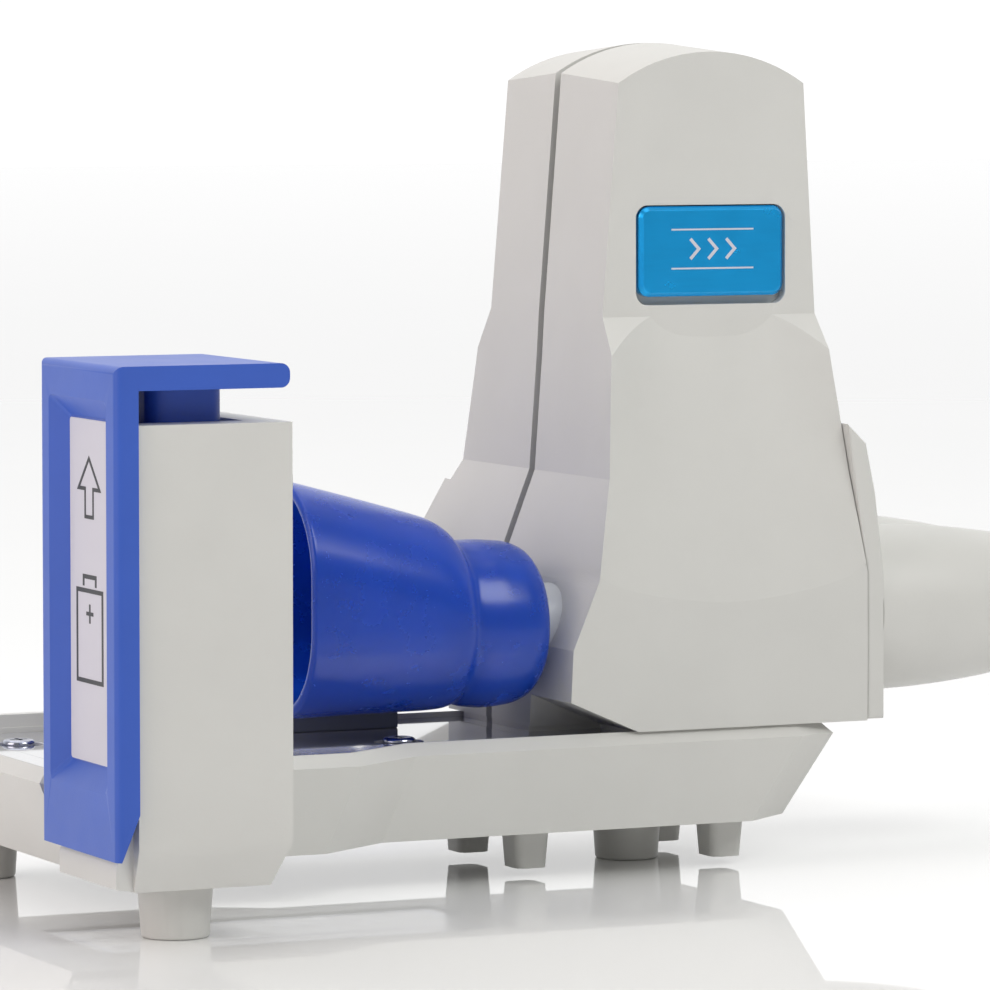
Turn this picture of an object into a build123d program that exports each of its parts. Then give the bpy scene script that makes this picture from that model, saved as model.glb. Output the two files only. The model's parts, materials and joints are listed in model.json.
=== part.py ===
"""Bench-standing motorized pipette controller with two mirrored flow channels.

X runs along the flow axes (cups at -X, nosepieces at +X), the front faces -Y, Z is up.
The origin is the bottom centre of the whole unit. Numbers in the sketches count from the
tower's reference point: on the floor, in the gap plane between the two tower halves, under
the middle of the tower. Lengths are millimetres.
"""

import os
from math import hypot

from build123d import *

os.makedirs("parts", exist_ok=True)

# Tower reference point, and the three planes through it
ref_x = 26.85
ref_y = 22.0
level = Plane(origin=(ref_x, ref_y, 0))
facing = Plane(origin=(ref_x, ref_y, 0), x_dir=(1, 0, 0), z_dir=(0, -1, 0))
across = Plane(origin=(ref_x, ref_y, 0), x_dir=(0, 1, 0), z_dir=(1, 0, 0))

# Base
base_z = 8.3
rim_z = 24.4
deck_z = 23.5
deck_thick = 1.5
tray_wall = 2.5
tray_floor = 2.5
foot_r = 6.0
foot_taper = 0.6
tray_foot_spots = [(-6.2, -8.6), (-115.4, 15.2)]
box_foot_spot = (-112.9, -64.8)
screw_spots = [(-54.5, -20.5), (-54.5, 7.0), (-113.5, 3.0), (-113.5, -24.0)]

# Tower and flow axes
gap_half = 1.1
half_depth = 32.0
axis_y = 17.4
axis_z = 42.5
motor_y = 14.5
tower_mid_x = 2.2
key_z = 104.95
key_x = 2.2
pump_r = 10.9
tie_spots = [(2.0, 124.0), (-10.5, 78.0), (15.5, 78.0), (-19.0, 31.0), (19.0, 31.0)]

# Battery box
box_x0, box_x1 = -123.7, -97.8
box_y0, box_y1 = -76.8, -46.0
box_z0, box_z1 = 8.6, 81.3
box_chamfer = 6.9
door_x0 = -127.7
door_thick = 3.8
door_y0, door_y1 = -77.8, -45.0
hook_z = 90.5
hook_thick = 3.8
cell_r = 7.8
cell_spot = (-112.0, -62.0)

tray_bottom = [
    (-121.3, -41.8),
    (-77.0, -41.8),
    (-63.0, -32.6),
    (5.8, -32.6),
    (15.3, -25.5),
    (14.6, 13.4),
    (-63.0, 13.4),
    (-77.0, 21.4),
    (-121.3, 21.4),
]
tray_top = [
    (-127.0, -42.2),
    (-71.0, -42.2),
    (-57.0, -33.0),
    (15.2, -33.0),
    (22.5, -30.4),
    (22.0, 14.0),
    (-57.0, 14.0),
    (-71.0, 22.0),
    (-127.0, 22.0),
]


def inset(points, distance):
    """The same corners moved inwards, for a polygon that runs anticlockwise."""
    lines = []
    for (ax, ay), (bx, by) in zip(points, points[1:] + points[:1]):
        length = hypot(bx - ax, by - ay)
        nx, ny = -(by - ay) / length, (bx - ax) / length
        lines.append((nx, ny, nx * ax + ny * ay + distance))
    moved = []
    for (a, b, c), (d, e, f) in zip(lines[-1:] + lines[:-1], lines):
        det = a * e - b * d
        moved.append(((c * e - b * f) / det, (a * f - c * d) / det))
    return moved


# ---------------------------------------------------------------- base
with BuildPart() as base_tray:
    with BuildSketch(level.offset(base_z)):
        Polygon(*tray_bottom, align=None)
    with BuildSketch(level.offset(rim_z - 2.0)):
        Polygon(*tray_top, align=None)
    with BuildSketch(level.offset(rim_z)):
        Polygon(*inset(tray_top, 2.0), align=None)
    loft(ruled=True)
    # Cable and board space under the deck
    with BuildSketch(level.offset(base_z + tray_floor)):
        Polygon(*inset(tray_bottom, tray_wall), align=None)
    with BuildSketch(level.offset(deck_z - deck_thick)):
        Polygon(*inset(tray_top, 4.6), align=None)
    loft(ruled=True, mode=Mode.SUBTRACT)
    # Ledge that carries the deck plate
    with BuildSketch(level.offset(deck_z - deck_thick)):
        Polygon(*inset(tray_top, 2.6), align=None)
    extrude(amount=4, mode=Mode.SUBTRACT)
    # Raised wall along the back of the wide part
    with BuildSketch(level.offset(rim_z - 2.0)):
        with Locations((-98.4, 20.7)):
            Rectangle(52.8, 2.2)
    extrude(amount=4.2)
    # Screw bosses
    with BuildSketch(level.offset(base_z + 1)):
        with Locations(*screw_spots):
            Circle(3.5)
    extrude(amount=deck_z - deck_thick - base_z - 1)
    with BuildSketch(level.offset(base_z + 4)):
        with Locations(*screw_spots):
            Circle(1.4)
    extrude(amount=20, mode=Mode.SUBTRACT)
    # Locating tongues under the tray, just clear of the floor
    for tongue_x in (-31.8, 5.0):
        for tongue_y in (-21.8, 1.2):
            with BuildSketch(level.offset(base_z + 0.5)):
                with Locations((tongue_x, tongue_y)):
                    RectangleRounded(6.6, 7.4, 1.5)
            with BuildSketch(level.offset(1.4)):
                with Locations((tongue_x, tongue_y)):
                    RectangleRounded(5.6, 6.4, 1.5)
            loft()
    # Seat of the rating plate and the foot peg holes
    with BuildSketch(level.offset(base_z)):
        with Locations((-73.0, -9.6)):
            RectangleRounded(72.0, 30.0, 1.5)
    extrude(amount=0.8, mode=Mode.SUBTRACT)
    with BuildSketch(level.offset(base_z)):
        with Locations(*tray_foot_spots):
            Circle(2.0)
    extrude(amount=tray_floor, mode=Mode.SUBTRACT)
    # Cable way towards the battery box
    with BuildSketch(facing.offset(30)):
        with Locations((-106.0, 16.0)):
            Circle(2.5)
    extrude(amount=20, mode=Mode.SUBTRACT)
base_tray.part.label = "base_tray"
export_step(base_tray.part, "parts/base_tray.step")

with BuildPart() as deck_plate:
    with BuildSketch(level.offset(deck_z - deck_thick)):
        Polygon(*inset(tray_top, 2.7), align=None)
        with Locations((-13.0, -7.0), (-13.0, 7.0)):
            Rectangle(8.0, 5.0, mode=Mode.SUBTRACT)
    extrude(amount=deck_thick)
    with BuildSketch(level.offset(deck_z - 0.9)):
        with Locations(*screw_spots):
            Circle(4.1)
    extrude(amount=2, mode=Mode.SUBTRACT)
    with BuildSketch(level.offset(deck_z - 2)):
        with Locations(*screw_spots):
            Circle(1.4)
    extrude(amount=4, mode=Mode.SUBTRACT)
deck_plate.part.label = "deck_plate"
export_step(deck_plate.part, "parts/deck_plate.step")

with BuildPart() as deck_screws:
    with BuildSketch(level.offset(base_z + 5)):
        with Locations(*screw_spots):
            Circle(1.4)
    extrude(amount=deck_z - 0.9 - base_z - 5)
    with BuildSketch(level.offset(deck_z - 0.9)):
        with Locations(*screw_spots):
            Circle(2.8)
    extrude(amount=1.7)
    fillet(deck_screws.faces().group_by(Axis.Z)[-1].edges(), radius=0.7)
    # Cross slots
    with BuildSketch(level.offset(deck_z + 0.1)):
        with Locations(*screw_spots):
            Rectangle(3.0, 0.7)
            Rectangle(0.7, 3.0)
    extrude(amount=2, mode=Mode.SUBTRACT)
deck_screws.part.label = "deck_screws"
export_step(deck_screws.part, "parts/deck_screws.step")

with BuildPart() as tray_feet:
    with BuildSketch(level):
        with Locations(*tray_foot_spots):
            Circle(foot_r - foot_taper)
    extrude(amount=base_z, taper=-4.0)
    fillet(tray_feet.faces().sort_by(Axis.Z)[:2].edges(), radius=0.5)
    with BuildSketch(level.offset(base_z)):
        with Locations(*tray_foot_spots):
            Circle(2.0)
    extrude(amount=tray_floor)
tray_feet.part.label = "tray_feet"
export_step(tray_feet.part, "parts/tray_feet.step")

with BuildPart() as rating_plate:
    with BuildSketch(level.offset(base_z + 0.4)):
        with Locations((-73.0, -9.6)):
            RectangleRounded(71.0, 29.0, 1.2)
    extrude(amount=0.4)
rating_plate.part.label = "rating_plate"
export_step(rating_plate.part, "parts/rating_plate.step")

with BuildPart() as deck_rib:
    with BuildSketch(facing):
        Polygon(
            (-76.0, deck_z),
            (-46.0, deck_z),
            (-46.0, 26.3),
            (-76.0, 26.3),
            align=None,
        )
    extrude(amount=1.2, both=True)
deck_rib.part.label = "deck_rib"
export_step(deck_rib.part, "parts/deck_rib.step")

with BuildPart() as power_board:
    with BuildSketch(level.offset(14.5)):
        with Locations((-84.0, -9.0)):
            Rectangle(44.0, 26.0)
    extrude(amount=1.6)
    # Components on the top face
    for part_x, part_y, wide, deep, tall in (
        (-98.0, -14.0, 8.0, 8.0, 3.2),
        (-84.0, -4.0, 10.0, 6.0, 1.4),
        (-70.0, -14.0, 6.0, 9.0, 4.0),
    ):
        with BuildSketch(level.offset(16.1)):
            with Locations((part_x, part_y)):
                Rectangle(wide, deep)
        extrude(amount=tall)
    # Standoffs down to the tray floor
    with BuildSketch(level.offset(base_z + tray_floor)):
        with Locations((-102.0, -19.0), (-102.0, 1.0), (-66.0, -19.0), (-66.0, 1.0)):
            Circle(1.8)
    extrude(amount=14.5 - base_z - tray_floor)
power_board.part.label = "power_board"
export_step(power_board.part, "parts/power_board.step")

# ---------------------------------------------------------------- battery box
with BuildPart() as battery_box:
    with BuildSketch(level.offset(box_z0)):
        with Locations(((box_x0 + box_x1 - 2.9) / 2, (box_y0 + box_y1) / 2)):
            Rectangle(box_x1 - box_x0 - 2.9, box_y1 - box_y0 - 4.4)
    with BuildSketch(level.offset(box_z0 + box_chamfer)):
        with Locations(((box_x0 + box_x1) / 2, (box_y0 + box_y1) / 2)):
            Rectangle(box_x1 - box_x0, box_y1 - box_y0)
    loft(ruled=True)
    with BuildSketch(level.offset(box_z0 + box_chamfer)):
        with Locations(((box_x0 + box_x1) / 2, (box_y0 + box_y1) / 2)):
            Rectangle(box_x1 - box_x0, box_y1 - box_y0)
    extrude(amount=box_z1 - box_z0 - box_chamfer)
    # Lip under the drawer front
    with BuildSketch(facing.offset(50)):
        Polygon(
            (-126.6, box_z0 + 0.6),
            (box_x0 + 1, box_z0),
            (box_x0 + 1, 20.0),
            (box_x0, 19.6),
            (-126.6, 12.6),
            align=None,
        )
    extrude(amount=24.4)
    # Neck that joins the box to the tray
    with BuildSketch(facing.offset(-box_y1)):
        with Locations((-109.5, 17.0)):
            RectangleRounded(20.0, 9.0, 1.5)
    extrude(amount=-3.8)
    # Well for the drawer, open to the left and through the top
    with BuildSketch(level.offset(box_z0 + 2.5)):
        with Locations((-112.3, -61.8)):
            Rectangle(20.6, 22.0)
    extrude(amount=box_z1 - box_z0 - 4.0, mode=Mode.SUBTRACT)
    with BuildSketch(level.offset(box_z0 + 14)):
        with Locations((-112.8, -62.0)):
            Rectangle(18.6, 17.0)
    extrude(amount=box_z1, mode=Mode.SUBTRACT)
battery_box.part.label = "battery_box"
export_step(battery_box.part, "parts/battery_box.step")

with BuildPart() as battery_drawer:
    # Front plate and finger hook in one bent section
    with BuildSketch(facing.offset(-door_y1)):
        Polygon(
            (door_x0, 13.8),
            (door_x0 + 0.8, 13.8),
            (door_x0 + door_thick, 21.1),
            (door_x0 + door_thick, hook_z - hook_thick),
            (-98.6, hook_z - hook_thick),
            (-98.6, hook_z),
            (door_x0, hook_z),
            align=None,
        )
    extrude(amount=door_y1 - door_y0)
    fillet(battery_drawer.edges().filter_by(Axis.Y).sort_by(Axis.X)[-2:], radius=1.5)
    door_face = battery_drawer.faces().sort_by(Axis.X)[0]
    fillet(door_face.edges().sort_by(Axis.Z)[1:], radius=1.3)
    # Recess for the label, with sloping sides
    with BuildSketch(across.offset(door_x0)):
        with Locations((-61.3, 54.5)):
            RectangleRounded(24.6, 61.0, 1.2)
    with BuildSketch(across.offset(door_x0 + 2.4)):
        with Locations((-61.3, 54.6)):
            RectangleRounded(17.8, 54.4, 0.8)
    loft(mode=Mode.SUBTRACT)
    # Post under the hook and the carrier that hangs from it
    with BuildSketch(level.offset(76.0)):
        with Locations((-112.5, -62.0)):
            RectangleRounded(12.6, 16.0, 3.0)
    extrude(amount=hook_z - hook_thick - 76.0 + 0.2)
    with BuildSketch(level.offset(74.6)):
        with Locations((-112.9, -62.0)):
            Rectangle(17.6, 16.2)
    extrude(amount=2.0)
    with BuildSketch(level.offset(15.0)):
        with Locations((-120.9, -62.0)):
            Rectangle(1.6, 16.2)
    extrude(amount=61.6)
    with BuildSketch(level.offset(13.6)):
        with Locations((-112.9, -62.0)):
            Rectangle(17.6, 16.2)
    extrude(amount=2.0)
battery_drawer.part.label = "battery_drawer"
export_step(battery_drawer.part, "parts/battery_drawer.step")

with BuildPart() as drawer_label:
    with BuildSketch(across.offset(door_x0 + 2.15)):
        with Locations((-61.3, 54.6)):
            RectangleRounded(17.2, 53.8, 0.6)
    extrude(amount=0.25)
drawer_label.part.label = "drawer_label"
export_step(drawer_label.part, "parts/drawer_label.step")

with BuildPart() as battery_pack:
    with BuildSketch(level.offset(16.2)):
        with Locations(cell_spot):
            Circle(cell_r)
    extrude(amount=54.0)
    fillet(battery_pack.faces().filter_by(Axis.Z).edges(), radius=0.6)
    with BuildSketch(level.offset(70.2)):
        with Locations(cell_spot):
            Circle(3.0)
    extrude(amount=1.2)
battery_pack.part.label = "battery_pack"
export_step(battery_pack.part, "parts/battery_pack.step")

with BuildPart() as carrier_contacts:
    # Spring plate over the positive end and pad under the negative end
    with BuildSketch(level.offset(71.4)):
        with Locations(cell_spot):
            Circle(3.6)
    extrude(amount=3.2, taper=14)
    with BuildSketch(level.offset(15.6)):
        with Locations(cell_spot):
            Circle(5.0)
    extrude(amount=0.6)
carrier_contacts.part.label = "carrier_contacts"
export_step(carrier_contacts.part, "parts/carrier_contacts.step")

with BuildPart() as box_contacts:
    # Two strips that lean on the drawer's side of the well
    with BuildSketch(level.offset(24.0)):
        with Locations((-102.4, -66.0), (-102.4, -58.0)):
            Rectangle(0.8, 4.0)
    extrude(amount=34.0)
box_contacts.part.label = "box_contacts"
export_step(box_contacts.part, "parts/box_contacts.step")

with BuildPart() as box_latch:
    with BuildSketch(facing.offset(70.5)):
        with Locations((box_x1 + 0.3, 71.8)):
            RectangleRounded(0.6, 2.6, 0.29)
    extrude(amount=5.0)
box_latch.part.label = "box_latch"
export_step(box_latch.part, "parts/box_latch.step")

with BuildPart() as box_foot:
    with BuildSketch(level):
        with Locations(box_foot_spot):
            Circle(foot_r - foot_taper)
    extrude(amount=box_z0, taper=-4.0)
    fillet(box_foot.faces().sort_by(Axis.Z)[0].edges(), radius=0.5)
box_foot.part.label = "box_foot"
export_step(box_foot.part, "parts/box_foot.step")

# ---------------------------------------------------------------- tower and channels
# Height, left edge at the gap, left edge at the face, right edge and depth of each level,
# for the outside and the inside of the two halves; the rear face lies less deep
front_rings = [
    (rim_z, -28.4, -28.3, 28.3, half_depth),
    (38.6, -28.0, -27.6, 28.3, half_depth),
    (50.0, -26.8, -22.8, 28.2, half_depth),
    (67.0, -20.2, -20.0, 25.4, half_depth),
    (86.5, -18.8, -18.8, 22.9, 29.0),
    (94.0, -18.4, -18.4, 22.0, 24.0),
    (145.0, -14.4, -14.4, 19.2, 23.6),
]
front_cavity = [
    (rim_z + 2.0, -26.2, -26.0, 26.2, 30.0),
    (38.6, -25.9, -25.2, 26.2, 30.0),
    (50.0, -24.4, -20.6, 26.0, 29.4),
    (67.0, -18.0, -17.8, 23.2, 26.2),
    (86.5, -16.7, -16.7, 20.7, 22.2),
    (94.0, -16.3, -16.3, 19.9, 21.9),
    (130.0, -13.8, -13.8, 17.6, 21.7),
]
rear_rings = [
    (rim_z, -28.4, -28.6, 28.3, half_depth),
    (38.6, -28.0, -29.4, 28.3, half_depth),
    (50.0, -26.8, -30.0, 28.2, half_depth),
    (67.0, -20.2, -20.2, 25.4, 31.5),
    (86.5, -18.8, -18.8, 22.9, 25.5),
    (94.0, -18.4, -18.4, 22.0, 20.5),
    (145.0, -14.4, -14.4, 19.2, 20.1),
]
rear_cavity = [
    (rim_z + 2.0, -26.2, -26.4, 26.2, 30.0),
    (38.6, -25.9, -27.0, 26.2, 30.0),
    (50.0, -24.4, -27.4, 26.0, 28.6),
    (67.0, -18.0, -18.0, 23.2, 24.4),
    (86.5, -16.7, -16.7, 20.7, 19.9),
    (94.0, -16.3, -16.3, 19.9, 18.4),
    (130.0, -13.8, -13.8, 17.6, 18.2),
]

# Position, rise of the centre, half width, half height and corner radius across the cup
cup_rings = [
    (-75.6, 5.5, 16.4, 20.0, 15.2),
    (-62.0, 3.9, 16.0, 18.1, 14.6),
    (-50.0, 2.2, 15.6, 16.5, 14.0),
    (-45.5, 1.3, 15.0, 15.4, 14.6),
    (-42.3, 0.3, 13.7, 13.7, 13.5),
    (-33.0, 0.0, 13.3, 13.3, 13.1),
    (-31.0, 0.0, 12.2, 12.2, 12.0),
    (-30.3, 0.0, 10.6, 10.6, 10.4),
]
cup_bore_rings = [
    (-76.6, 5.6, 14.7, 18.4, 13.5),
    (-62.0, 3.9, 14.2, 16.3, 12.9),
    (-50.0, 2.2, 13.8, 14.7, 12.2),
    (-45.5, 1.3, 13.2, 13.6, 12.8),
    (-42.3, 0.3, 11.9, 11.9, 11.7),
    (-37.0, 0.0, 11.4, 11.4, 11.2),
]


def ring_corners(ring, inner_y, side):
    """Corners of one level of a tower half, in the plane of that level."""
    left_gap, left_front, right, depth = ring[1:]
    return (
        (left_gap, side * inner_y),
        (left_front, side * depth),
        (right, side * depth),
        (right, side * inner_y),
    )


def along_x(x, side):
    """Plane across the flow axis of one channel at x, its origin on the axis."""
    centre = (ref_x + x, ref_y + side * axis_y, axis_z)
    return Plane(origin=centre, x_dir=(0, 1, 0), z_dir=(1, 0, 0))


def make_half(side, name, rings, cavity):
    """Shell, inner plate, key, board and switch of one tower half."""
    flip = -side
    outward = Plane(origin=(ref_x, ref_y, 0), x_dir=(flip, 0, 0), z_dir=(0, side, 0))
    face_depth = rings[5][4]

    with BuildPart() as shell:
        for ring in rings:
            with BuildSketch(level.offset(ring[0])):
                Polygon(*ring_corners(ring, gap_half, side), align=None)
        loft(ruled=True)
        # Domed top, a little lower towards the face
        for y, crown in ((0.0, 140.3), (30.0, 138.3)):
            dome_left = (flip * -20.0, crown - 9.1)
            dome_right = (flip * 24.4, crown - 9.1)
            with BuildSketch(outward.offset(y)):
                with BuildLine():
                    ThreePointArc(dome_left, (flip * tower_mid_x, crown), dome_right)
                    Polyline(dome_right, (flip * 24.4, 150), (flip * -20.0, 150), dome_left)
                make_face()
        loft(ruled=True, mode=Mode.SUBTRACT)
        # Flaring scoop in the face, under the flat field of the key
        for z, middle, crease, edge, narrow, wide in (
            (94.0, face_depth - 0.64, face_depth, face_depth + 4.1, 11.5, 21.0),
            (40.0, 33.02, 33.23, 33.06, 14.7, 27.0),
        ):
            scoop_left = (tower_mid_x - wide, side * edge)
            scoop_right = (tower_mid_x + wide, side * edge)
            with BuildSketch(level.offset(z)):
                with BuildLine():
                    Spline(
                        scoop_left,
                        (tower_mid_x - narrow, side * crease),
                        (tower_mid_x, side * middle),
                        (tower_mid_x + narrow, side * crease),
                        scoop_right,
                    )
                    Polyline(
                        scoop_right,
                        (tower_mid_x + wide, side * 45),
                        (tower_mid_x - wide, side * 45),
                        scoop_left,
                    )
                make_face()
        loft(ruled=True, mode=Mode.SUBTRACT)
        with BuildSketch(outward.offset(face_depth - 2.0)):
            with Locations((flip * 2.0, 87.0)):
                Rectangle(30.0, 14.0)
        extrude(amount=2.0)
        for ring in cavity:
            with BuildSketch(level.offset(ring[0])):
                Polygon(*ring_corners(ring, gap_half - 0.5, side), align=None)
        loft(ruled=True, mode=Mode.SUBTRACT)
        # Notch under the lower left corner, walled off from the inside
        with BuildSketch(outward.offset(half_depth - 17.6)):
            Polygon(
                (flip * -26.6, 26.0),
                (flip * -10.9, 26.0),
                (flip * -26.6, 32.6),
                align=None,
            )
        extrude(amount=16.0)
        with BuildSketch(outward.offset(half_depth - 15.6)):
            Polygon(
                (flip * -29.0, rim_z - 0.2),
                (flip * -14.9, rim_z - 0.2),
                (flip * -29.0, 30.3),
                align=None,
            )
        extrude(amount=18.0, mode=Mode.SUBTRACT)
        # Plinth that fills the step down to the deck
        plinth_front = 28.4 if side < 0 else 10.6
        with BuildSketch(level.offset(deck_z)):
            Polygon(
                (-28.3, side * gap_half),
                (-28.3, side * min(16.0, plinth_front)),
                (-14.9, side * min(16.0, plinth_front)),
                (-14.9, side * plinth_front),
                (19.0, side * plinth_front),
                (19.0, side * gap_half),
                align=None,
            )
        extrude(amount=rim_z - deck_z)
        # Cable entry, key window, inlet and outlet
        with BuildSketch(level.offset(deck_z - 1)):
            with Locations((-13.0, side * 7.0)):
                Rectangle(8.0, 5.0)
        extrude(amount=5.0, mode=Mode.SUBTRACT)
        with BuildSketch(outward.offset(face_depth - 4.0)):
            with Locations((flip * 2.1, 104.35)):
                RectangleRounded(28.4, 16.9, 2.2)
        extrude(amount=6.0, mode=Mode.SUBTRACT)
        with BuildSketch(along_x(-34.0, side)):
            Circle(6.4)
        extrude(amount=16.0, mode=Mode.SUBTRACT)
        with BuildSketch(along_x(24.0, side)):
            Circle(5.6)
        extrude(amount=6.0, mode=Mode.SUBTRACT)
    shell.part.label = f"{name}_shell"
    export_step(shell.part, f"parts/{name}_shell.step")

    with BuildPart() as inner_plate:
        with BuildSketch(outward.offset(gap_half)):
            Polygon(
                (flip * -25.6, 26.9),
                (flip * -25.2, 38.6),
                (flip * -23.4, 50.0),
                (flip * -17.2, 67.0),
                (flip * -15.6, 94.0),
                (flip * -13.3, 129.4),
                (flip * 17.0, 129.4),
                (flip * 19.2, 94.0),
                (flip * 22.4, 67.0),
                (flip * 25.3, 50.0),
                (flip * 25.6, 26.9),
                align=None,
            )
            with Locations(*[(flip * x, z) for x, z in tie_spots]):
                Circle(1.5, mode=Mode.SUBTRACT)
        extrude(amount=2.0)
    inner_plate.part.label = f"{name}_inner_plate"
    export_step(inner_plate.part, f"parts/{name}_inner_plate.step")

    with BuildPart() as key_plate:
        with BuildSketch(outward.offset(face_depth - 1.9)):
            with Locations((flip * key_x, key_z)):
                RectangleRounded(27.4, 15.3, 2.0)
        extrude(amount=2.2)
        chamfer(key_plate.faces().sort_by(Axis.Y)[0 if side < 0 else -1].edges(), length=0.7)
    key_plate.part.label = f"{name}_key_plate"
    export_step(key_plate.part, f"parts/{name}_key_plate.step")

    with BuildPart() as key_carrier:
        with BuildSketch(outward.offset(face_depth - 3.4)):
            with Locations((flip * key_x, key_z)):
                RectangleRounded(30.4, 18.6, 2.4)
        extrude(amount=1.0)
        with BuildSketch(outward.offset(face_depth - 2.4)):
            with Locations((flip * key_x, key_z)):
                RectangleRounded(26.6, 14.5, 1.8)
        extrude(amount=0.5)
        with BuildSketch(outward.offset(face_depth - 7.4)):
            with Locations((flip * key_x, key_z)):
                Circle(1.8)
        extrude(amount=4.0)
    key_carrier.part.label = f"{name}_key_carrier"
    export_step(key_carrier.part, f"parts/{name}_key_carrier.step")

    with BuildPart() as control_board:
        with BuildSketch(outward.offset(face_depth - 11.6)):
            with Locations((flip * 2.0, 109.0)):
                Rectangle(26.0, 38.0)
        extrude(amount=1.6)
        for part_x, part_z, wide, high, tall in (
            (-5.0, 120.0, 7.0, 7.0, 1.6),
            (8.0, 121.0, 9.0, 4.0, 3.0),
            (-6.0, 96.0, 4.0, 6.0, 2.4),
        ):
            with BuildSketch(outward.offset(face_depth - 10.0)):
                with Locations((flip * part_x, part_z)):
                    Rectangle(wide, high)
            extrude(amount=tall)
    control_board.part.label = f"{name}_control_board"
    export_step(control_board.part, f"parts/{name}_control_board.step")

    with BuildPart() as switch:
        with BuildSketch(outward.offset(face_depth - 10.0)):
            with Locations((flip * key_x, key_z)):
                Rectangle(6.4, 6.4)
        extrude(amount=3.6)
        with BuildSketch(outward.offset(face_depth - 8.8)):
            with Locations((flip * key_x, key_z)):
                Circle(2.3)
        extrude(amount=3.0, mode=Mode.SUBTRACT)
    switch.part.label = f"{name}_switch"
    export_step(switch.part, f"parts/{name}_switch.step")


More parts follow.
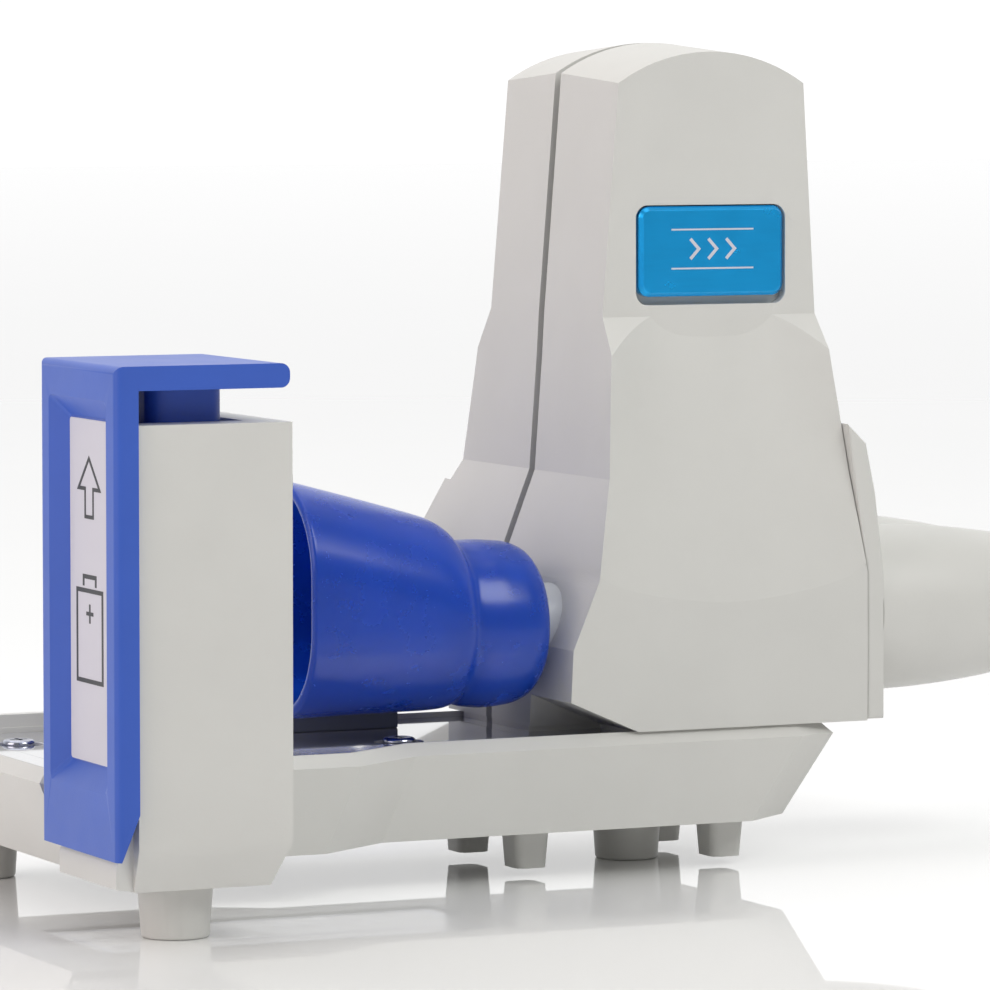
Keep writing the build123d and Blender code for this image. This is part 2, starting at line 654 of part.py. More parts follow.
def make_channel(side, name):
    """Pump, motor, spigot, funnel cup, flange and nosepiece of one channel."""
    flip = -side
    outward = Plane(origin=(ref_x, ref_y, 0), x_dir=(flip, 0, 0), z_dir=(0, side, 0))
    pump_spot = (0, side * motor_y)

    with BuildPart() as pump_body:
        with BuildSketch(level.offset(34.0)):
            with Locations(pump_spot):
                Circle(pump_r)
        extrude(amount=20.0)
        with BuildSketch(along_x(-22.0, side)):
            Circle(5.6)
        extrude(amount=55.6)
        with BuildSketch(along_x(-23.0, side)):
            Circle(4.2)
        extrude(amount=60.0, mode=Mode.SUBTRACT)
        with BuildSketch(level.offset(36.0)):
            with Locations(pump_spot):
                Circle(9.4)
        extrude(amount=20.0, mode=Mode.SUBTRACT)
        # Axle of the impeller
        with BuildSketch(level.offset(35.0)):
            with Locations(pump_spot):
                Circle(1.0)
        extrude(amount=17.0)
        # Legs down to the floor of the shell
        with BuildSketch(level.offset(rim_z + 2.0)):
            with Locations((-7.0, side * 19.0), (7.0, side * 19.0), (0, side * 6.0)):
                Circle(1.8)
        extrude(amount=32.0 - rim_z + 0.5)
    pump_body.part.label = f"{name}_pump_body"
    export_step(pump_body.part, f"parts/{name}_pump_body.step")

    with BuildPart() as pump_lid:
        with BuildSketch(level.offset(54.0)):
            with Locations(pump_spot):
                Circle(pump_r)
        extrude(amount=1.4)
    pump_lid.part.label = f"{name}_pump_lid"
    export_step(pump_lid.part, f"parts/{name}_pump_lid.step")

    with BuildPart() as impeller:
        with BuildSketch(level.offset(38.0)):
            with Locations(pump_spot):
                Circle(2.6)
            with Locations(pump_spot):
                with PolarLocations(5.2, 6):
                    Rectangle(6.6, 1.0)
        extrude(amount=12.0)
        with BuildSketch(level.offset(49.6)):
            with Locations(pump_spot):
                Circle(8.8)
        extrude(amount=3.4)
        with BuildSketch(level.offset(37.0)):
            with Locations(pump_spot):
                Circle(1.05)
        extrude(amount=15.5, mode=Mode.SUBTRACT)
    impeller.part.label = f"{name}_impeller"
    export_step(impeller.part, f"parts/{name}_impeller.step")

    with BuildPart() as motor_mount:
        with BuildSketch(level.offset(55.4)):
            with Locations(pump_spot):
                Circle(pump_r)
                Circle(9.2, mode=Mode.SUBTRACT)
        extrude(amount=5.4)
        with BuildSketch(level.offset(60.8)):
            with Locations(pump_spot):
                Circle(pump_r)
                Circle(2.4, mode=Mode.SUBTRACT)
        extrude(amount=1.4)
    motor_mount.part.label = f"{name}_motor_mount"
    export_step(motor_mount.part, f"parts/{name}_motor_mount.step")

    with BuildPart() as drive_hub:
        with BuildSketch(level.offset(56.2)):
            with Locations(pump_spot):
                Circle(8.2)
                Circle(1.0, mode=Mode.SUBTRACT)
        extrude(amount=3.8)
    drive_hub.part.label = f"{name}_drive_hub"
    export_step(drive_hub.part, f"parts/{name}_drive_hub.step")

    with BuildPart() as motor_shaft:
        with BuildSketch(level.offset(56.4)):
            with Locations(pump_spot):
                Circle(1.0)
        extrude(amount=12.0)
    motor_shaft.part.label = f"{name}_motor_shaft"
    export_step(motor_shaft.part, f"parts/{name}_motor_shaft.step")

    with BuildPart() as motor:
        with BuildSketch(level.offset(62.2)):
            with Locations(pump_spot):
                Circle(7.7)
                Rectangle(18.0, 12.0, mode=Mode.INTERSECT)
        extrude(amount=19.8)
        with BuildSketch(level.offset(82.0)):
            with Locations((-3.0, side * motor_y), (3.0, side * motor_y)):
                Rectangle(0.6, 2.4)
        extrude(amount=2.4)
        with BuildSketch(level.offset(62.0)):
            with Locations(pump_spot):
                Circle(1.05)
        extrude(amount=7.0, mode=Mode.SUBTRACT)
    motor.part.label = f"{name}_motor"
    export_step(motor.part, f"parts/{name}_motor.step")

    with BuildPart() as spigot:
        with BuildSketch(along_x(-38.0, side)):
            Circle(6.4)
        extrude(amount=16.0)
        chamfer(spigot.faces().sort_by(Axis.X)[0].edges(), length=0.6)
        with BuildSketch(along_x(-39.0, side)):
            Circle(4.2)
        extrude(amount=18.0, mode=Mode.SUBTRACT)
    spigot.part.label = f"{name}_spigot"
    export_step(spigot.part, f"parts/{name}_spigot.step")

    # Cup: the bottom line stays level while the top rises towards the mouth
    with BuildPart() as cup:
        for x, drop, wide, high, corner in cup_rings:
            with BuildSketch(along_x(x, side)):
                with Locations((0, drop)):
                    RectangleRounded(2 * wide, 2 * high, corner)
        loft(ruled=True)
        for x, drop, wide, high, corner in cup_bore_rings:
            with BuildSketch(along_x(x, side)):
                with Locations((0, drop)):
                    RectangleRounded(2 * wide, 2 * high, corner)
        loft(ruled=True, mode=Mode.SUBTRACT)
        with BuildSketch(along_x(-40.0, side)):
            Circle(6.75)
        extrude(amount=12.0, mode=Mode.SUBTRACT)
    cup.part.label = f"{name}_cup"
    export_step(cup.part, f"parts/{name}_cup.step")

    with BuildPart() as flange:
        with BuildSketch(outward.offset(1.8)):
            Polygon(
                (flip * 28.45, 24.6),
                (flip * 28.45, 38.6),
                (flip * 28.35, 50.0),
                (flip * 25.6, 67.0),
                (flip * 24.5, 75.4),
                (flip * 28.0, 72.0),
                (flip * 29.9, 63.0),
                (flip * 31.5, 50.0),
                (flip * 31.6, 24.6),
                align=None,
            )
        extrude(amount=30.0)
        with BuildSketch(along_x(27.0, side)):
            Circle(5.6)
        extrude(amount=6.0, mode=Mode.SUBTRACT)
    flange.part.label = f"{name}_flange"
    export_step(flange.part, f"parts/{name}_flange.step")

    lengthwise = Plane(origin=along_x(0, side).origin, x_dir=(1, 0, 0), z_dir=(0, -1, 0))
    channel_axis = Axis(lengthwise.origin, (1, 0, 0))
    with BuildPart() as nosepiece:
        with BuildSketch(lengthwise):
            with BuildLine():
                Polyline((31.6, 5.6), (31.6, 14.4))
                ThreePointArc((31.6, 14.4), (54.0, 13.2), (73.0, 9.8))
                Polyline((73.0, 9.8), (74.0, 9.0), (74.0, 8.0), (35.6, 8.0), (33.6, 5.6), (31.6, 5.6))
            make_face()
        revolve(axis=channel_axis)
    nosepiece.part.label = f"{name}_nosepiece"
    export_step(nosepiece.part, f"parts/{name}_nosepiece.step")

    with BuildPart() as filter_disc:
        with BuildSketch(along_x(38.0, side)):
            Circle(7.7)
        extrude(amount=3.6)
        with BuildSketch(along_x(37.0, side)):
            Circle(1.6)
        extrude(amount=6.0, mode=Mode.SUBTRACT)
    filter_disc.part.label = f"{name}_filter_disc"
    export_step(filter_disc.part, f"parts/{name}_filter_disc.step")

    with BuildPart() as grip_collar:
        with BuildSketch(lengthwise):
            Polygon(
                (52.0, 2.2),
                (52.0, 7.6),
                (73.6, 7.6),
                (73.6, 6.4),
                (56.0, 2.2),
                align=None,
            )
        revolve(axis=channel_axis)
    grip_collar.part.label = f"{name}_grip_collar"
    export_step(grip_collar.part, f"parts/{name}_grip_collar.step")

    with BuildPart() as wires:
        for shift in (-0.9, 0.9):
            lane_y = ref_y + side * 1.6 + shift
            rise_x = ref_x - 13.0 - side * shift
            rise_y = ref_y + side * 7.0
            start = (ref_x - 62.0, lane_y, 19.0)
            with BuildLine() as route:
                FilletPolyline(
                    start,
                    (ref_x - 30.0, lane_y, 19.0),
                    (rise_x, rise_y, 19.0),
                    (rise_x, rise_y, 96.0),
                    radius=2.0,
                )
            with BuildSketch(Plane(origin=start, z_dir=(1, 0, 0))):
                Circle(0.6)
            sweep(path=route.line)
    wires.part.label = f"{name}_wires"
    export_step(wires.part, f"parts/{name}_wires.step")


make_half(-1, "front", front_rings, front_cavity)
make_half(1, "rear", rear_rings, rear_cavity)
make_channel(-1, "front")
make_channel(1, "rear")

with BuildPart() as gap_spacers:
    with BuildSketch(facing):
        with Locations(*tie_spots):
            Circle(3.5)
            Circle(1.5, mode=Mode.SUBTRACT)
    extrude(amount=gap_half, both=True)
gap_spacers.part.label = "gap_spacers"
export_step(gap_spacers.part, "parts/gap_spacers.step")

with BuildPart() as tie_screws:
    with BuildSketch(facing):
        with Locations(*tie_spots):
            Circle(1.5)
    extrude(amount=gap_half + 2.0, both=True)
    with BuildSketch(facing.offset(gap_half + 2.0)):
        with Locations(*tie_spots):
            Circle(2.7)
    extrude(amount=1.6)
    with BuildSketch(facing.offset(-gap_half - 2.0)):
        with Locations(*tie_spots):
            RegularPolygon(2.9, 6)
    extrude(amount=-1.6)
tie_screws.part.label = "tie_screws"
export_step(tie_screws.part, "parts/tie_screws.step")
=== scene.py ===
"""Looks of the bench-standing motorized pipette controller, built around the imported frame."""

import json
from math import cos, pi, radians, sin

import bmesh
import bpy
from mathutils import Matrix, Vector


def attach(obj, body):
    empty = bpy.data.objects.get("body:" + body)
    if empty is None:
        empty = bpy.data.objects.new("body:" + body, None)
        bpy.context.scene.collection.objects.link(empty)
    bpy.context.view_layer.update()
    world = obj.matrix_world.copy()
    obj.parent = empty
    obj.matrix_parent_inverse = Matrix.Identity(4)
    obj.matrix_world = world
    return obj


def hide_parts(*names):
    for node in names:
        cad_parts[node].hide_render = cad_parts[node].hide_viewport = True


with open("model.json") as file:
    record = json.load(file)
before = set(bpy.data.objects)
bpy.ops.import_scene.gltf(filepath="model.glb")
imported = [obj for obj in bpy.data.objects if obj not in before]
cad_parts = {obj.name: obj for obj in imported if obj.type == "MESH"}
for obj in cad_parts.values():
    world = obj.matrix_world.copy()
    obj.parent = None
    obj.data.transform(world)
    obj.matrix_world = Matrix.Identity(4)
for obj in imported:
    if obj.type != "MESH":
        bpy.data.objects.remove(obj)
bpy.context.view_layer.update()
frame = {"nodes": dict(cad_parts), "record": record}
nodes = frame["nodes"]
scene = bpy.context.scene

# The tower's reference point in the row frame; pieces below are written in millimetres from it
REF = Vector((0.02685, 0.022, 0.0))


def mm(x, y, z):
    """A point in millimetres from the tower's reference point, in the row frame."""
    return Vector((x, y, z)) / 1000 + REF


# ---------------------------------------------------------------- node helpers
def new_material(name):
    material = bpy.data.materials.new(name)
    material.use_nodes = True
    tree = material.node_tree
    return material, tree, tree.nodes["Principled BSDF"]


def add(tree, kind, **values):
    """A node with its properties or its unlinked inputs set by name."""
    node = tree.nodes.new(kind)
    for key, value in values.items():
        label = key.replace("_", " ")
        if label in node.inputs:
            node.inputs[label].default_value = value
        else:
            setattr(node, key, value)
    return node


def noise_on(tree, scale, detail=3.0, stretch=(1, 1, 1), roughness=0.5):
    """Noise in the piece's own coordinates, with features about 1/scale metres wide."""
    coords = add(tree, "ShaderNodeTexCoord")
    mapping = add(tree, "ShaderNodeMapping")
    mapping.inputs["Scale"].default_value = stretch
    noise = add(tree, "ShaderNodeTexNoise", Scale=scale, Detail=detail, Roughness=roughness)
    tree.links.new(coords.outputs["Object"], mapping.inputs["Vector"])
    tree.links.new(mapping.outputs["Vector"], noise.inputs["Vector"])
    return noise.outputs["Fac"]


def ramp(tree, source, low, high, start=0.3, end=0.7):
    """Colour that runs from low to high as the source goes from start to end."""
    node = add(tree, "ShaderNodeValToRGB")
    node.color_ramp.elements[0].position = start
    node.color_ramp.elements[1].position = end
    node.color_ramp.elements[0].color = (*low, 1)
    node.color_ramp.elements[1].color = (*high, 1)
    tree.links.new(source, node.inputs["Fac"])
    return node.outputs["Color"]


def span(tree, source, low, high, start=0.3, end=0.7):
    """Value that runs from low to high as the source goes from start to end."""
    node = add(tree, "ShaderNodeMapRange")
    for key, value in (("From Min", start), ("From Max", end), ("To Min", low), ("To Max", high)):
        node.inputs[key].default_value = value
    tree.links.new(source, node.inputs["Value"])
    return node.outputs["Result"]


def bump(tree, source, strength, distance, under=None):
    """Normal bent by the source as a height, on top of another bump if one is given."""
    node = add(tree, "ShaderNodeBump", Strength=strength, Distance=distance)
    tree.links.new(source, node.inputs["Height"])
    if under is not None:
        tree.links.new(under, node.inputs["Normal"])
    return node.outputs["Normal"]


def plastic(name, colour, roughness=0.45, spread=0.03, grain=2600, depth=0.00002, wave=0.08,
            specular=0.5, coat=0.0, coat_roughness=0.1, scratches=0.0):
    """Moulded plastic: fine spark-eroded grain, faint flow marks, uneven gloss."""
    material, tree, bsdf = new_material(name)
    blotch = noise_on(tree, 55, 4)
    low = tuple(max(0.0, c * (1 - spread)) for c in colour)
    high = tuple(min(1.0, c * (1 + spread)) for c in colour)
    tree.links.new(ramp(tree, blotch, low, high), bsdf.inputs["Base Color"])
    handled = noise_on(tree, 140, 5, roughness=0.6)
    gloss = span(tree, handled, roughness - 0.02, roughness + 0.03)
    tree.links.new(gloss, bsdf.inputs["Roughness"])
    normal = bump(tree, noise_on(tree, 90, 2), wave, 0.00012)
    normal = bump(tree, noise_on(tree, grain, 2), 0.5, depth, normal)
    if scratches:
        lines = noise_on(tree, 900, 2, stretch=(0.08, 1, 1))
        normal = bump(tree, lines, scratches, 0.00001, normal)
    tree.links.new(normal, bsdf.inputs["Normal"])
    bsdf.inputs["Specular IOR Level"].default_value = specular
    bsdf.inputs["Coat Weight"].default_value = coat
    bsdf.inputs["Coat Roughness"].default_value = coat_roughness
    return material


def metal(name, colour, roughness=0.3, stretch=(0.05, 1, 1), scale=2500, depth=0.000012,
          spread=0.08, coat=0.0):
    """Metal with drawn or brushed lines along the stretched direction."""
    material, tree, bsdf = new_material(name)
    lines = noise_on(tree, scale, 3, stretch=stretch)
    low = tuple(c * (1 - spread) for c in colour)
    high = tuple(min(1.0, c * (1 + spread)) for c in colour)
    tree.links.new(ramp(tree, lines, low, high), bsdf.inputs["Base Color"])
    smear = noise_on(tree, 240, 4)
    tree.links.new(span(tree, smear, roughness - 0.03, roughness + 0.04), bsdf.inputs["Roughness"])
    tree.links.new(bump(tree, lines, 0.4, depth), bsdf.inputs["Normal"])
    bsdf.inputs["Metallic"].default_value = 1.0
    bsdf.inputs["Coat Weight"].default_value = coat
    return material


def rubber(name, colour, roughness=0.6, grain=1800):
    """Rubber with a dull, slightly dusty skin."""
    material, tree, bsdf = new_material(name)
    dust = noise_on(tree, 400, 6, roughness=0.7)
    high = tuple(min(1.0, c * 1.35 + 0.01) for c in colour)
    tree.links.new(ramp(tree, dust, colour, high, 0.4, 0.75), bsdf.inputs["Base Color"])
    tree.links.new(span(tree, dust, roughness - 0.08, roughness + 0.12), bsdf.inputs["Roughness"])
    tree.links.new(bump(tree, noise_on(tree, grain, 3), 0.5, 0.00003), bsdf.inputs["Normal"])
    bsdf.inputs["Specular IOR Level"].default_value = 0.35
    return material


mats = {
    "shell_grey": plastic("shell_plastic", (0.64, 0.635, 0.61), 0.42, 0.02),
    "deck_gloss": plastic("deck_plate_polish", (0.36, 0.37, 0.42), 0.07, 0.03, 1200, 0.000003,
                          0.03, 1.0, 1.0, 0.04, 0.1),
    # The rib's colour is painted shade: it is darkened to the grey-blue it shows in the cups'
    # shade, while the moulding itself is light grey plastic
    "rib_blue": plastic("rib_plastic_painted_shade", (0.17, 0.19, 0.25), 0.4),
    "drawer_blue": plastic("drawer_plastic", (0.036, 0.105, 0.50), 0.38, 0.04),
    "key_blue_metal": metal("key_anodised", (0.006, 0.42, 0.92), 0.24, (0.1, 1, 1), 1600,
                            0.000003, 0.03, 0.35),
    "carrier_black": plastic("carrier_plastic", (0.02, 0.02, 0.024), 0.4),
    "screw_dark": metal("screw_nickel", (0.45, 0.47, 0.56), 0.22, (1, 1, 1), 1800),
    "screw_steel": metal("screw_zinc", (0.62, 0.62, 0.63), 0.3, (1, 1, 1), 1800),
    "foot_grey": plastic("foot_plastic", (0.64, 0.635, 0.61), 0.40, 0.02),
    "latch_grey": plastic("latch_plastic", (0.38, 0.38, 0.37), 0.45),
    "label_white": plastic("label_film", (0.62, 0.605, 0.67), 0.4, 0.02, 4000, 0.000004),
    "plate_aluminium": metal("plate_aluminium", (0.72, 0.72, 0.72), 0.32),
    "board_green": plastic("board_mask", (0.015, 0.15, 0.06), 0.3, 0.15),
    "contact_brass": metal("contact_brass", (0.78, 0.60, 0.28), 0.25),
    "cell_wrap": plastic("cell_wrap", (0.06, 0.09, 0.14), 0.25, 0.1),
    "spacer_white": plastic("spacer_nylon", (0.75, 0.75, 0.72), 0.4),
    "pump_white": plastic("pump_plastic", (0.70, 0.71, 0.70), 0.35),
    "rotor_grey": plastic("rotor_ferrite", (0.10, 0.10, 0.11), 0.5),
    "motor_steel": metal("motor_can", (0.60, 0.60, 0.61), 0.28, (1, 1, 0.05)),
    "spigot_grey": plastic("spigot_plastic", (0.52, 0.54, 0.58), 0.35),
    "filter_white": plastic("filter_membrane", (0.86, 0.86, 0.83), 0.8),
    "collar_rubber": rubber("collar_silicone", (0.16, 0.17, 0.19), 0.5),
    "wire_red": rubber("wire_sleeve", (0.42, 0.04, 0.03), 0.45),
    "cup_blue": plastic("cup_plastic", (0.008, 0.085, 0.62), 0.26, 0.12, 1500, 0.000006, 0.02,
                        0.4, 0.1, 0.15),
}
# The anodised key is a dyed layer over the metal, and the cups are milky and let light through
key_skin = mats["key_blue_metal"].node_tree.nodes["Principled BSDF"]
key_skin.inputs["Metallic"].default_value = 0.7
cup_skin = mats["cup_blue"].node_tree.nodes["Principled BSDF"]
cup_skin.inputs["Subsurface Weight"].default_value = 0.15
cup_skin.inputs["Subsurface Radius"].default_value = (0.15, 0.35, 1.0)
cup_skin.inputs["Subsurface Scale"].default_value = 0.004
cup_skin.inputs["Transmission Weight"].default_value = 0.45

slot_of = {p["node"]: p["material_slot"] for p in frame["record"]["subparts"]}


def paint(obj, material):
    obj.data.materials.clear()
    obj.data.materials.append(material)


def soften(obj, width, segments=3, angle=28):
    """Rounds the edges of a CAD node by a modifier, so that they catch the light."""
    weld = obj.modifiers.new("weld", "WELD")
    weld.merge_threshold = 0.000002
    bevel = obj.modifiers.new("bevel", "BEVEL")
    bevel.width = width
    bevel.segments = segments
    bevel.limit_method = "ANGLE"
    bevel.angle_limit = radians(angle)
    bevel.use_clamp_overlap = True
    normals = obj.modifiers.new("normals", "WEIGHTED_NORMAL")
    normals.keep_sharp = True


for node_name, obj in nodes.items():
    paint(obj, mats[slot_of[node_name]])
    for polygon in obj.data.polygons:
        polygon.use_smooth = True

# The creases of the scoop are shallow, so the shells take bevels from a smaller angle
for node_name in ("front_shell", "rear_shell"):
    soften(nodes[node_name], 0.0004, 2, 6)
for node_name, width in (
    ("battery_box", 0.0004),
    ("battery_drawer", 0.0003),
    ("base_tray", 0.0004),
    ("deck_plate", 0.0002),
    ("front_flange", 0.0004),
    ("rear_flange", 0.0004),
    ("front_key_plate", 0.0012),
    ("rear_key_plate", 0.0012),
    ("tray_feet", 0.0003),
    ("box_foot", 0.0003),
    ("deck_rib", 0.0003),
    ("box_latch", 0.0001),
):
    soften(nodes[node_name], width)

# ---------------------------------------------------------------- cups
AXIS_Y, AXIS_Z = 17.4, 42.5
# Position along the flow axis, rise of the centre, half width, half height, corner radius
CUP_OUTSIDE = [
    (-75.6, 5.5, 15.7, 19.3, 15.0),
    (-75.1, 5.5, 16.3, 19.9, 15.4),
    (-73.6, 5.3, 16.3, 19.8, 15.4),
    (-62.0, 3.9, 16.0, 18.1, 15.0),
    (-50.0, 2.2, 15.5, 16.4, 14.9),
    (-46.4, 1.4, 14.9, 15.3, 14.5),
    (-44.4, 0.7, 13.7, 13.9, 13.5),
    (-42.6, 0.2, 13.9, 14.0, 13.7),
    (-39.0, 0.0, 14.2, 14.2, 13.9),
    (-34.2, 0.0, 13.8, 13.8, 13.6),
    (-31.8, 0.0, 12.9, 12.9, 12.7),
    (-30.5, 0.0, 11.5, 11.5, 11.3),
    (-30.3, 0.0, 10.2, 10.2, 10.0),
]
CUP_INSIDE = [
    (-30.5, 0.0, 7.2, 7.2, 7.0),
    (-31.2, 0.0, 6.75, 6.75, 6.6),
    (-36.6, 0.0, 6.75, 6.75, 6.6),
    (-37.2, 0.0, 7.6, 7.6, 7.4),
    (-37.4, 0.0, 11.2, 11.2, 11.0),
    (-39.0, 0.0, 11.6, 11.6, 11.4),
    (-42.6, 0.2, 11.7, 11.7, 11.5),
    (-45.5, 1.2, 12.9, 13.2, 12.6),
    (-50.0, 2.2, 13.6, 14.5, 13.2),
    (-62.0, 3.9, 14.2, 16.3, 13.5),
    (-73.6, 5.3, 14.5, 18.0, 13.9),
    (-75.2, 5.5, 14.7, 18.3, 14.0),
    (-75.6, 5.5, 15.2, 18.8, 14.6),
]
QUARTER_POINTS = 18
RING_STEPS = 4
SLOPE_SHARE = 0.35


def between(rings):
    """The rings with smooth steps between them, as cubic curves with eased slopes."""
    result = []
    for i in range(len(rings) - 1):
        a, b = rings[i], rings[i + 1]
        before = rings[max(i - 1, 0)]
        after = rings[min(i + 2, len(rings) - 1)]
        for step in range(RING_STEPS):
            t = step / RING_STEPS
            result.append(tuple(
                q + t * t * (3 - 2 * t) * (r - q)
                + (t - 2 * t * t + t ** 3) * (r - p) * SLOPE_SHARE
                + (t ** 3 - t * t) * (s - q) * SLOPE_SHARE
                for p, q, r, s in zip(before, a, b, after)
            ))
    return result + [rings[-1]]


def ring_points(ring, side):
    """A rounded rectangle across the flow axis of one channel."""
    x, rise, wide, high, corner = ring
    points = []
    for turn in range(4):
        start = turn * pi / 2
        mid_y = (wide - corner) * (1 if turn in (0, 3) else -1)
        mid_z = (high - corner) * (1 if turn in (0, 1) else -1)
        for i in range(QUARTER_POINTS):
            angle = start + i / (QUARTER_POINTS - 1) * pi / 2
            y = side * AXIS_Y + mid_y + corner * cos(angle)
            points.append(mm(x, y, AXIS_Z + rise + mid_z + corner * sin(angle)))
    return points


def make_piece(name, mesh_builder, body, slot_name):
    """A mesh piece with outward normals, the material of its slot, and its body."""
    mesh_builder.normal_update()
    bmesh.ops.recalc_face_normals(mesh_builder, faces=mesh_builder.faces)
    mesh = bpy.data.meshes.new(name)
    mesh_builder.to_mesh(mesh)
    mesh_builder.free()
    piece = bpy.data.objects.new(name, mesh)
    scene.collection.objects.link(piece)
    paint(piece, mats[slot_name])
    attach(piece, body)
    return piece


for cup_name, cup_side in (("front", -1), ("rear", 1)):
    shell = bmesh.new()
    rings = [
        [shell.verts.new(p) for p in ring_points(ring, cup_side)]
        for ring in between(CUP_OUTSIDE) + between(CUP_INSIDE)
    ]
    for ring, following in zip(rings, rings[1:] + rings[:1]):
        for i in range(len(ring)):
            j = (i + 1) % len(ring)
            shell.faces.new((ring[i], ring[j], following[j], following[i]))
    for face in shell.faces:
        face.smooth = True
    cup = make_piece(f"{cup_name}_cup_shell", shell, "stand", "cup_blue")
    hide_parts(f"{cup_name}_cup")


# ---------------------------------------------------------------- printed and etched marks
# A mark starts just inside the face that carries it and stands a few hundredths proud
MARK_SUNK = -0.02
MARK_PROUD = 0.04
PLATE_MARK_PROUD = 0.05
LABEL_FACE_X = -125.55
PLATE_UNDERSIDE_Z = 8.7
KEY_X, KEY_Z = 2.2, 104.95
KEY_FACES = (("front", -1, 24.3), ("rear", 1, 20.8))
SHARPEST_MITRE = 0.3


def ribbon(builder, points, width, closed, at, proud=MARK_PROUD):
    """A raised line of even width through flat points, mitred at its corners."""
    count = len(points)
    sides = ([], [])
    for i, point in enumerate(points):
        here = Vector(point)
        before = Vector(points[i - 1]) if closed or i else None
        after = Vector(points[(i + 1) % count]) if closed or i < count - 1 else None
        came = (here - before).normalized() if before else (after - here).normalized()
        goes = (after - here).normalized() if after else came
        mitre = (came + goes).normalized()
        normal = Vector((-mitre.y, mitre.x))
        reach = width / 2 / max(SHARPEST_MITRE, mitre.dot(goes))
        for side_points, sign in zip(sides, (1, -1)):
            side_points.append(here + normal * reach * sign)
    quads = [
        [builder.verts.new(at(p.x, p.y, height)) for p in side_points]
        for side_points in sides for height in (MARK_SUNK, proud)
    ]
    left_low, left_high, right_low, right_high = quads
    loops = ((left_low, left_high), (left_high, right_high), (right_high, right_low),
             (right_low, left_low))
    for i in range(count if closed else count - 1):
        j = (i + 1) % count
        for a, b in loops:
            builder.faces.new((a[i], a[j], b[j], b[i]))
    if not closed:
        for i in (0, -1):
            builder.faces.new((left_low[i], left_high[i], right_high[i], right_low[i]))


def on_label(y, z, height):
    """A point on the drawer's label, height above its face."""
    return mm(LABEL_FACE_X - height, y, z)


def on_plate(x, y, height):
    """A point under the rating plate, height below its underside."""
    return mm(x, y, PLATE_UNDERSIDE_Z - height)


# The label: an upward arrow, and a cell with a cap and a plus
label_marks = bmesh.new()
arrow = [(-62.6, 66.2), (-62.6, 70.6), (-65.4, 70.6), (-60.9, 75.4), (-56.4, 70.6),
         (-59.2, 70.6), (-59.2, 66.2)]
cell = [(-66.4, 40.4), (-55.6, 40.4), (-55.6, 54.6), (-66.4, 54.6)]
cell_cap = [(-63.6, 55.3), (-63.6, 56.8), (-58.4, 56.8), (-58.4, 55.3)]
ribbon(label_marks, arrow, 0.6, True, on_label)
ribbon(label_marks, cell, 0.7, True, on_label)
ribbon(label_marks, cell_cap, 0.7, False, on_label)
PLUS_Y, PLUS_Z = -61.0, 51.0
plus = [(-0.3, -1.5), (0.3, -1.5), (0.3, -0.3), (1.5, -0.3), (1.5, 0.3), (0.3, 0.3), (0.3, 1.5),
        (-0.3, 1.5), (-0.3, 0.3), (-1.5, 0.3), (-1.5, -0.3), (-0.3, -0.3)]
caps = [
    [label_marks.verts.new(on_label(PLUS_Y + y, PLUS_Z + z, height)) for y, z in plus]
    for height in (MARK_SUNK, MARK_PROUD)
]
label_marks.faces.new(caps[0])
label_marks.faces.new(caps[1])
for i in range(len(plus)):
    j = (i + 1) % len(plus)
    label_marks.faces.new((caps[0][i], caps[0][j], caps[1][j], caps[1][i]))
make_piece("drawer_label_marks", label_marks, "battery_drawer", "carrier_black")


def on_key(side, face):
    """The function that gives points on one key, height above its face."""
    def at(x, z, height):
        return mm(KEY_X - side * x, side * (face + height), KEY_Z + z)
    return at


# The keys: two fine lines with three chevrons between them
for key_name, key_side, key_face in KEY_FACES:
    at_key = on_key(key_side, key_face)
    key_marks = bmesh.new()
    for z in (3.7, -2.9):
        ribbon(key_marks, [(-7.8, z), (7.8, z)], 0.28, False, at_key)
    for x in (-3.4, 0.0, 3.4):
        chevron = [(x - 0.8, 2.1), (x + 0.8, 0.4), (x - 0.8, -1.3)]
        ribbon(key_marks, chevron, 0.55, False, at_key)
    make_piece(f"{key_name}_key_marks", key_marks, f"{key_name}_key", "label_white")

# The rating plate: a border and one rule
plate_marks = bmesh.new()
border = [(-106.5, -22.1), (-39.5, -22.1), (-39.5, 2.9), (-106.5, 2.9)]
rule = [(-104.5, -16.0), (-41.5, -16.0)]
ribbon(plate_marks, border, 0.5, True, on_plate, PLATE_MARK_PROUD)
ribbon(plate_marks, rule, 0.4, False, on_plate, PLATE_MARK_PROUD)
make_piece("rating_plate_lines", plate_marks, "stand", "screw_dark")

# ---------------------------------------------------------------- floor, light, camera
def add_light(name, at, target, size, energy, colour):
    data = bpy.data.lights.new(name, "AREA")
    data.shape = "RECTANGLE"
    data.size, data.size_y = size
    data.energy = energy
    data.color = colour
    light = bpy.data.objects.new(name, data)
    scene.collection.objects.link(light)
    light.location = at
    light.rotation_euler = (Vector(target) - Vector(at)).to_track_quat("-Z", "Y").to_euler()
    return light


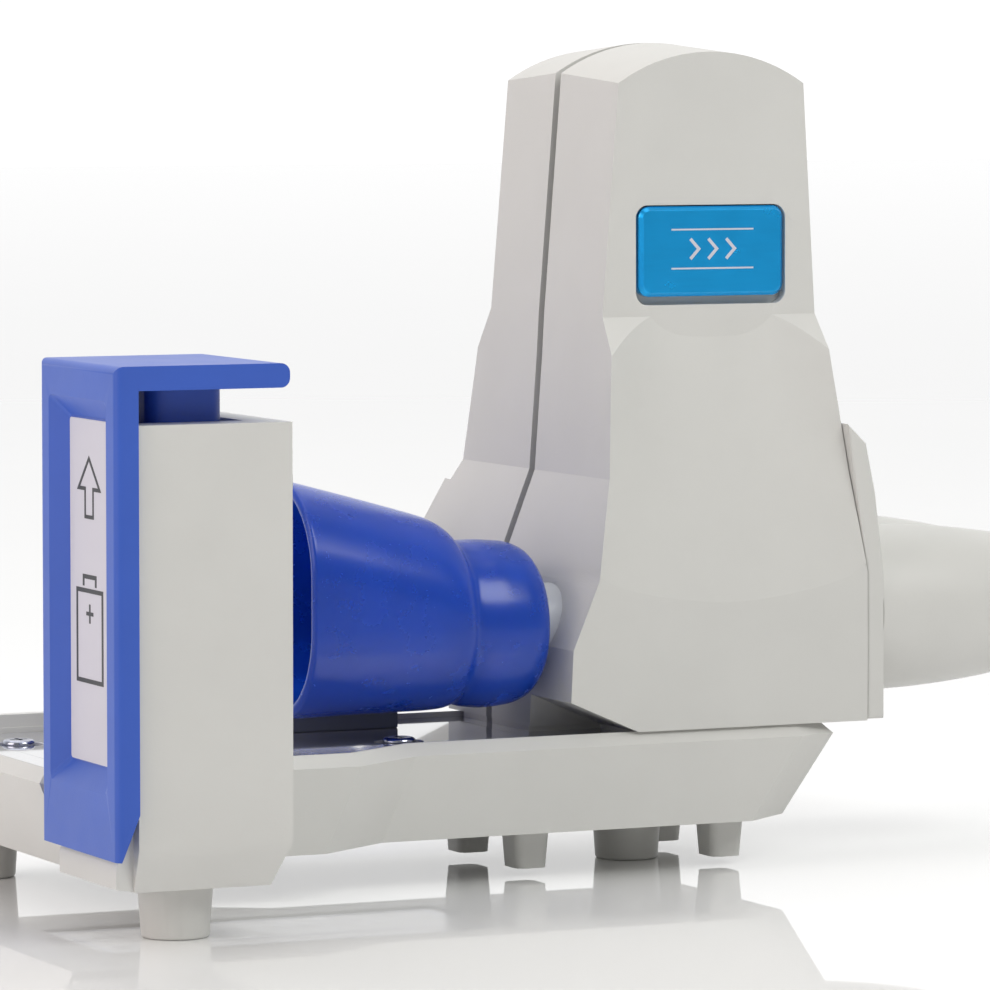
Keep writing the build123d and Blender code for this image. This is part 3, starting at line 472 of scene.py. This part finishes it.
floor_mesh = bpy.data.meshes.new("floor")
half = 6.0
FLOOR_CLEARANCE = 0.00002
floor_mesh.from_pydata(
    [(-half, -half, 0), (half, -half, 0), (half, half, 0), (-half, half, 0)], [], [(0, 1, 2, 3)]
)
floor = bpy.data.objects.new("floor", floor_mesh)
scene.collection.objects.link(floor)
floor.location.z = -FLOOR_CLEARANCE
floor_material, floor_tree, floor_bsdf = new_material("floor_white")
floor_tree.links.new(
    ramp(floor_tree, noise_on(floor_tree, 4, 2), (0.92, 0.92, 0.92), (0.95, 0.95, 0.95)),
    floor_bsdf.inputs["Base Color"],
)
floor_bsdf.inputs["Roughness"].default_value = 0.02
floor_bsdf.inputs["IOR"].default_value = 2.1
paint(floor, floor_material)

AZIMUTH = radians(25)
PITCH = radians(4.10532)
world = bpy.data.worlds.new("studio")
scene.world = world
world.use_nodes = True
sky = world.node_tree
direction = add(sky, "ShaderNodeTexCoord")
away = add(sky, "ShaderNodeVectorMath", operation="DOT_PRODUCT")
away.inputs[1].default_value = (sin(AZIMUTH), cos(AZIMUTH), 0)
sky.links.new(direction.outputs["Generated"], away.inputs[0])
backdrop = ramp(sky, away.outputs["Value"], (0.27, 0.27, 0.27), (1.05, 1.05, 1.05), 0.0, 0.6)
sky.links.new(backdrop, sky.nodes["Background"].inputs["Color"])
sky.nodes["Background"].inputs["Strength"].default_value = 1.0

centre = (-0.01, 0.0, 0.06)
add_light("top_softbox", (-0.15, 0.1, 1.1), centre, (1.1, 1.1), 4.2, (1, 0.985, 0.96))
add_light("front_softbox", (0.42, -0.95, 1.0), centre, (0.7, 0.7), 8.6, (0.99, 1, 0.97))
add_light("left_softbox", (-1.2, -0.15, 0.55), centre, (0.9, 0.9), 6.7, (1, 0.90, 0.87))

camera_data = bpy.data.cameras.new("camera")
camera_data.sensor_width = 36
camera_data.lens = 225.5
camera_data.clip_end = 50
camera = bpy.data.objects.new("camera", camera_data)
scene.collection.objects.link(camera)
camera.location = mm(-476.35, -963.18, 139.0)
camera.rotation_euler = (pi / 2 - PITCH, 0, -AZIMUTH)
scene.camera = camera
scene.view_settings.view_transform = "Standard"
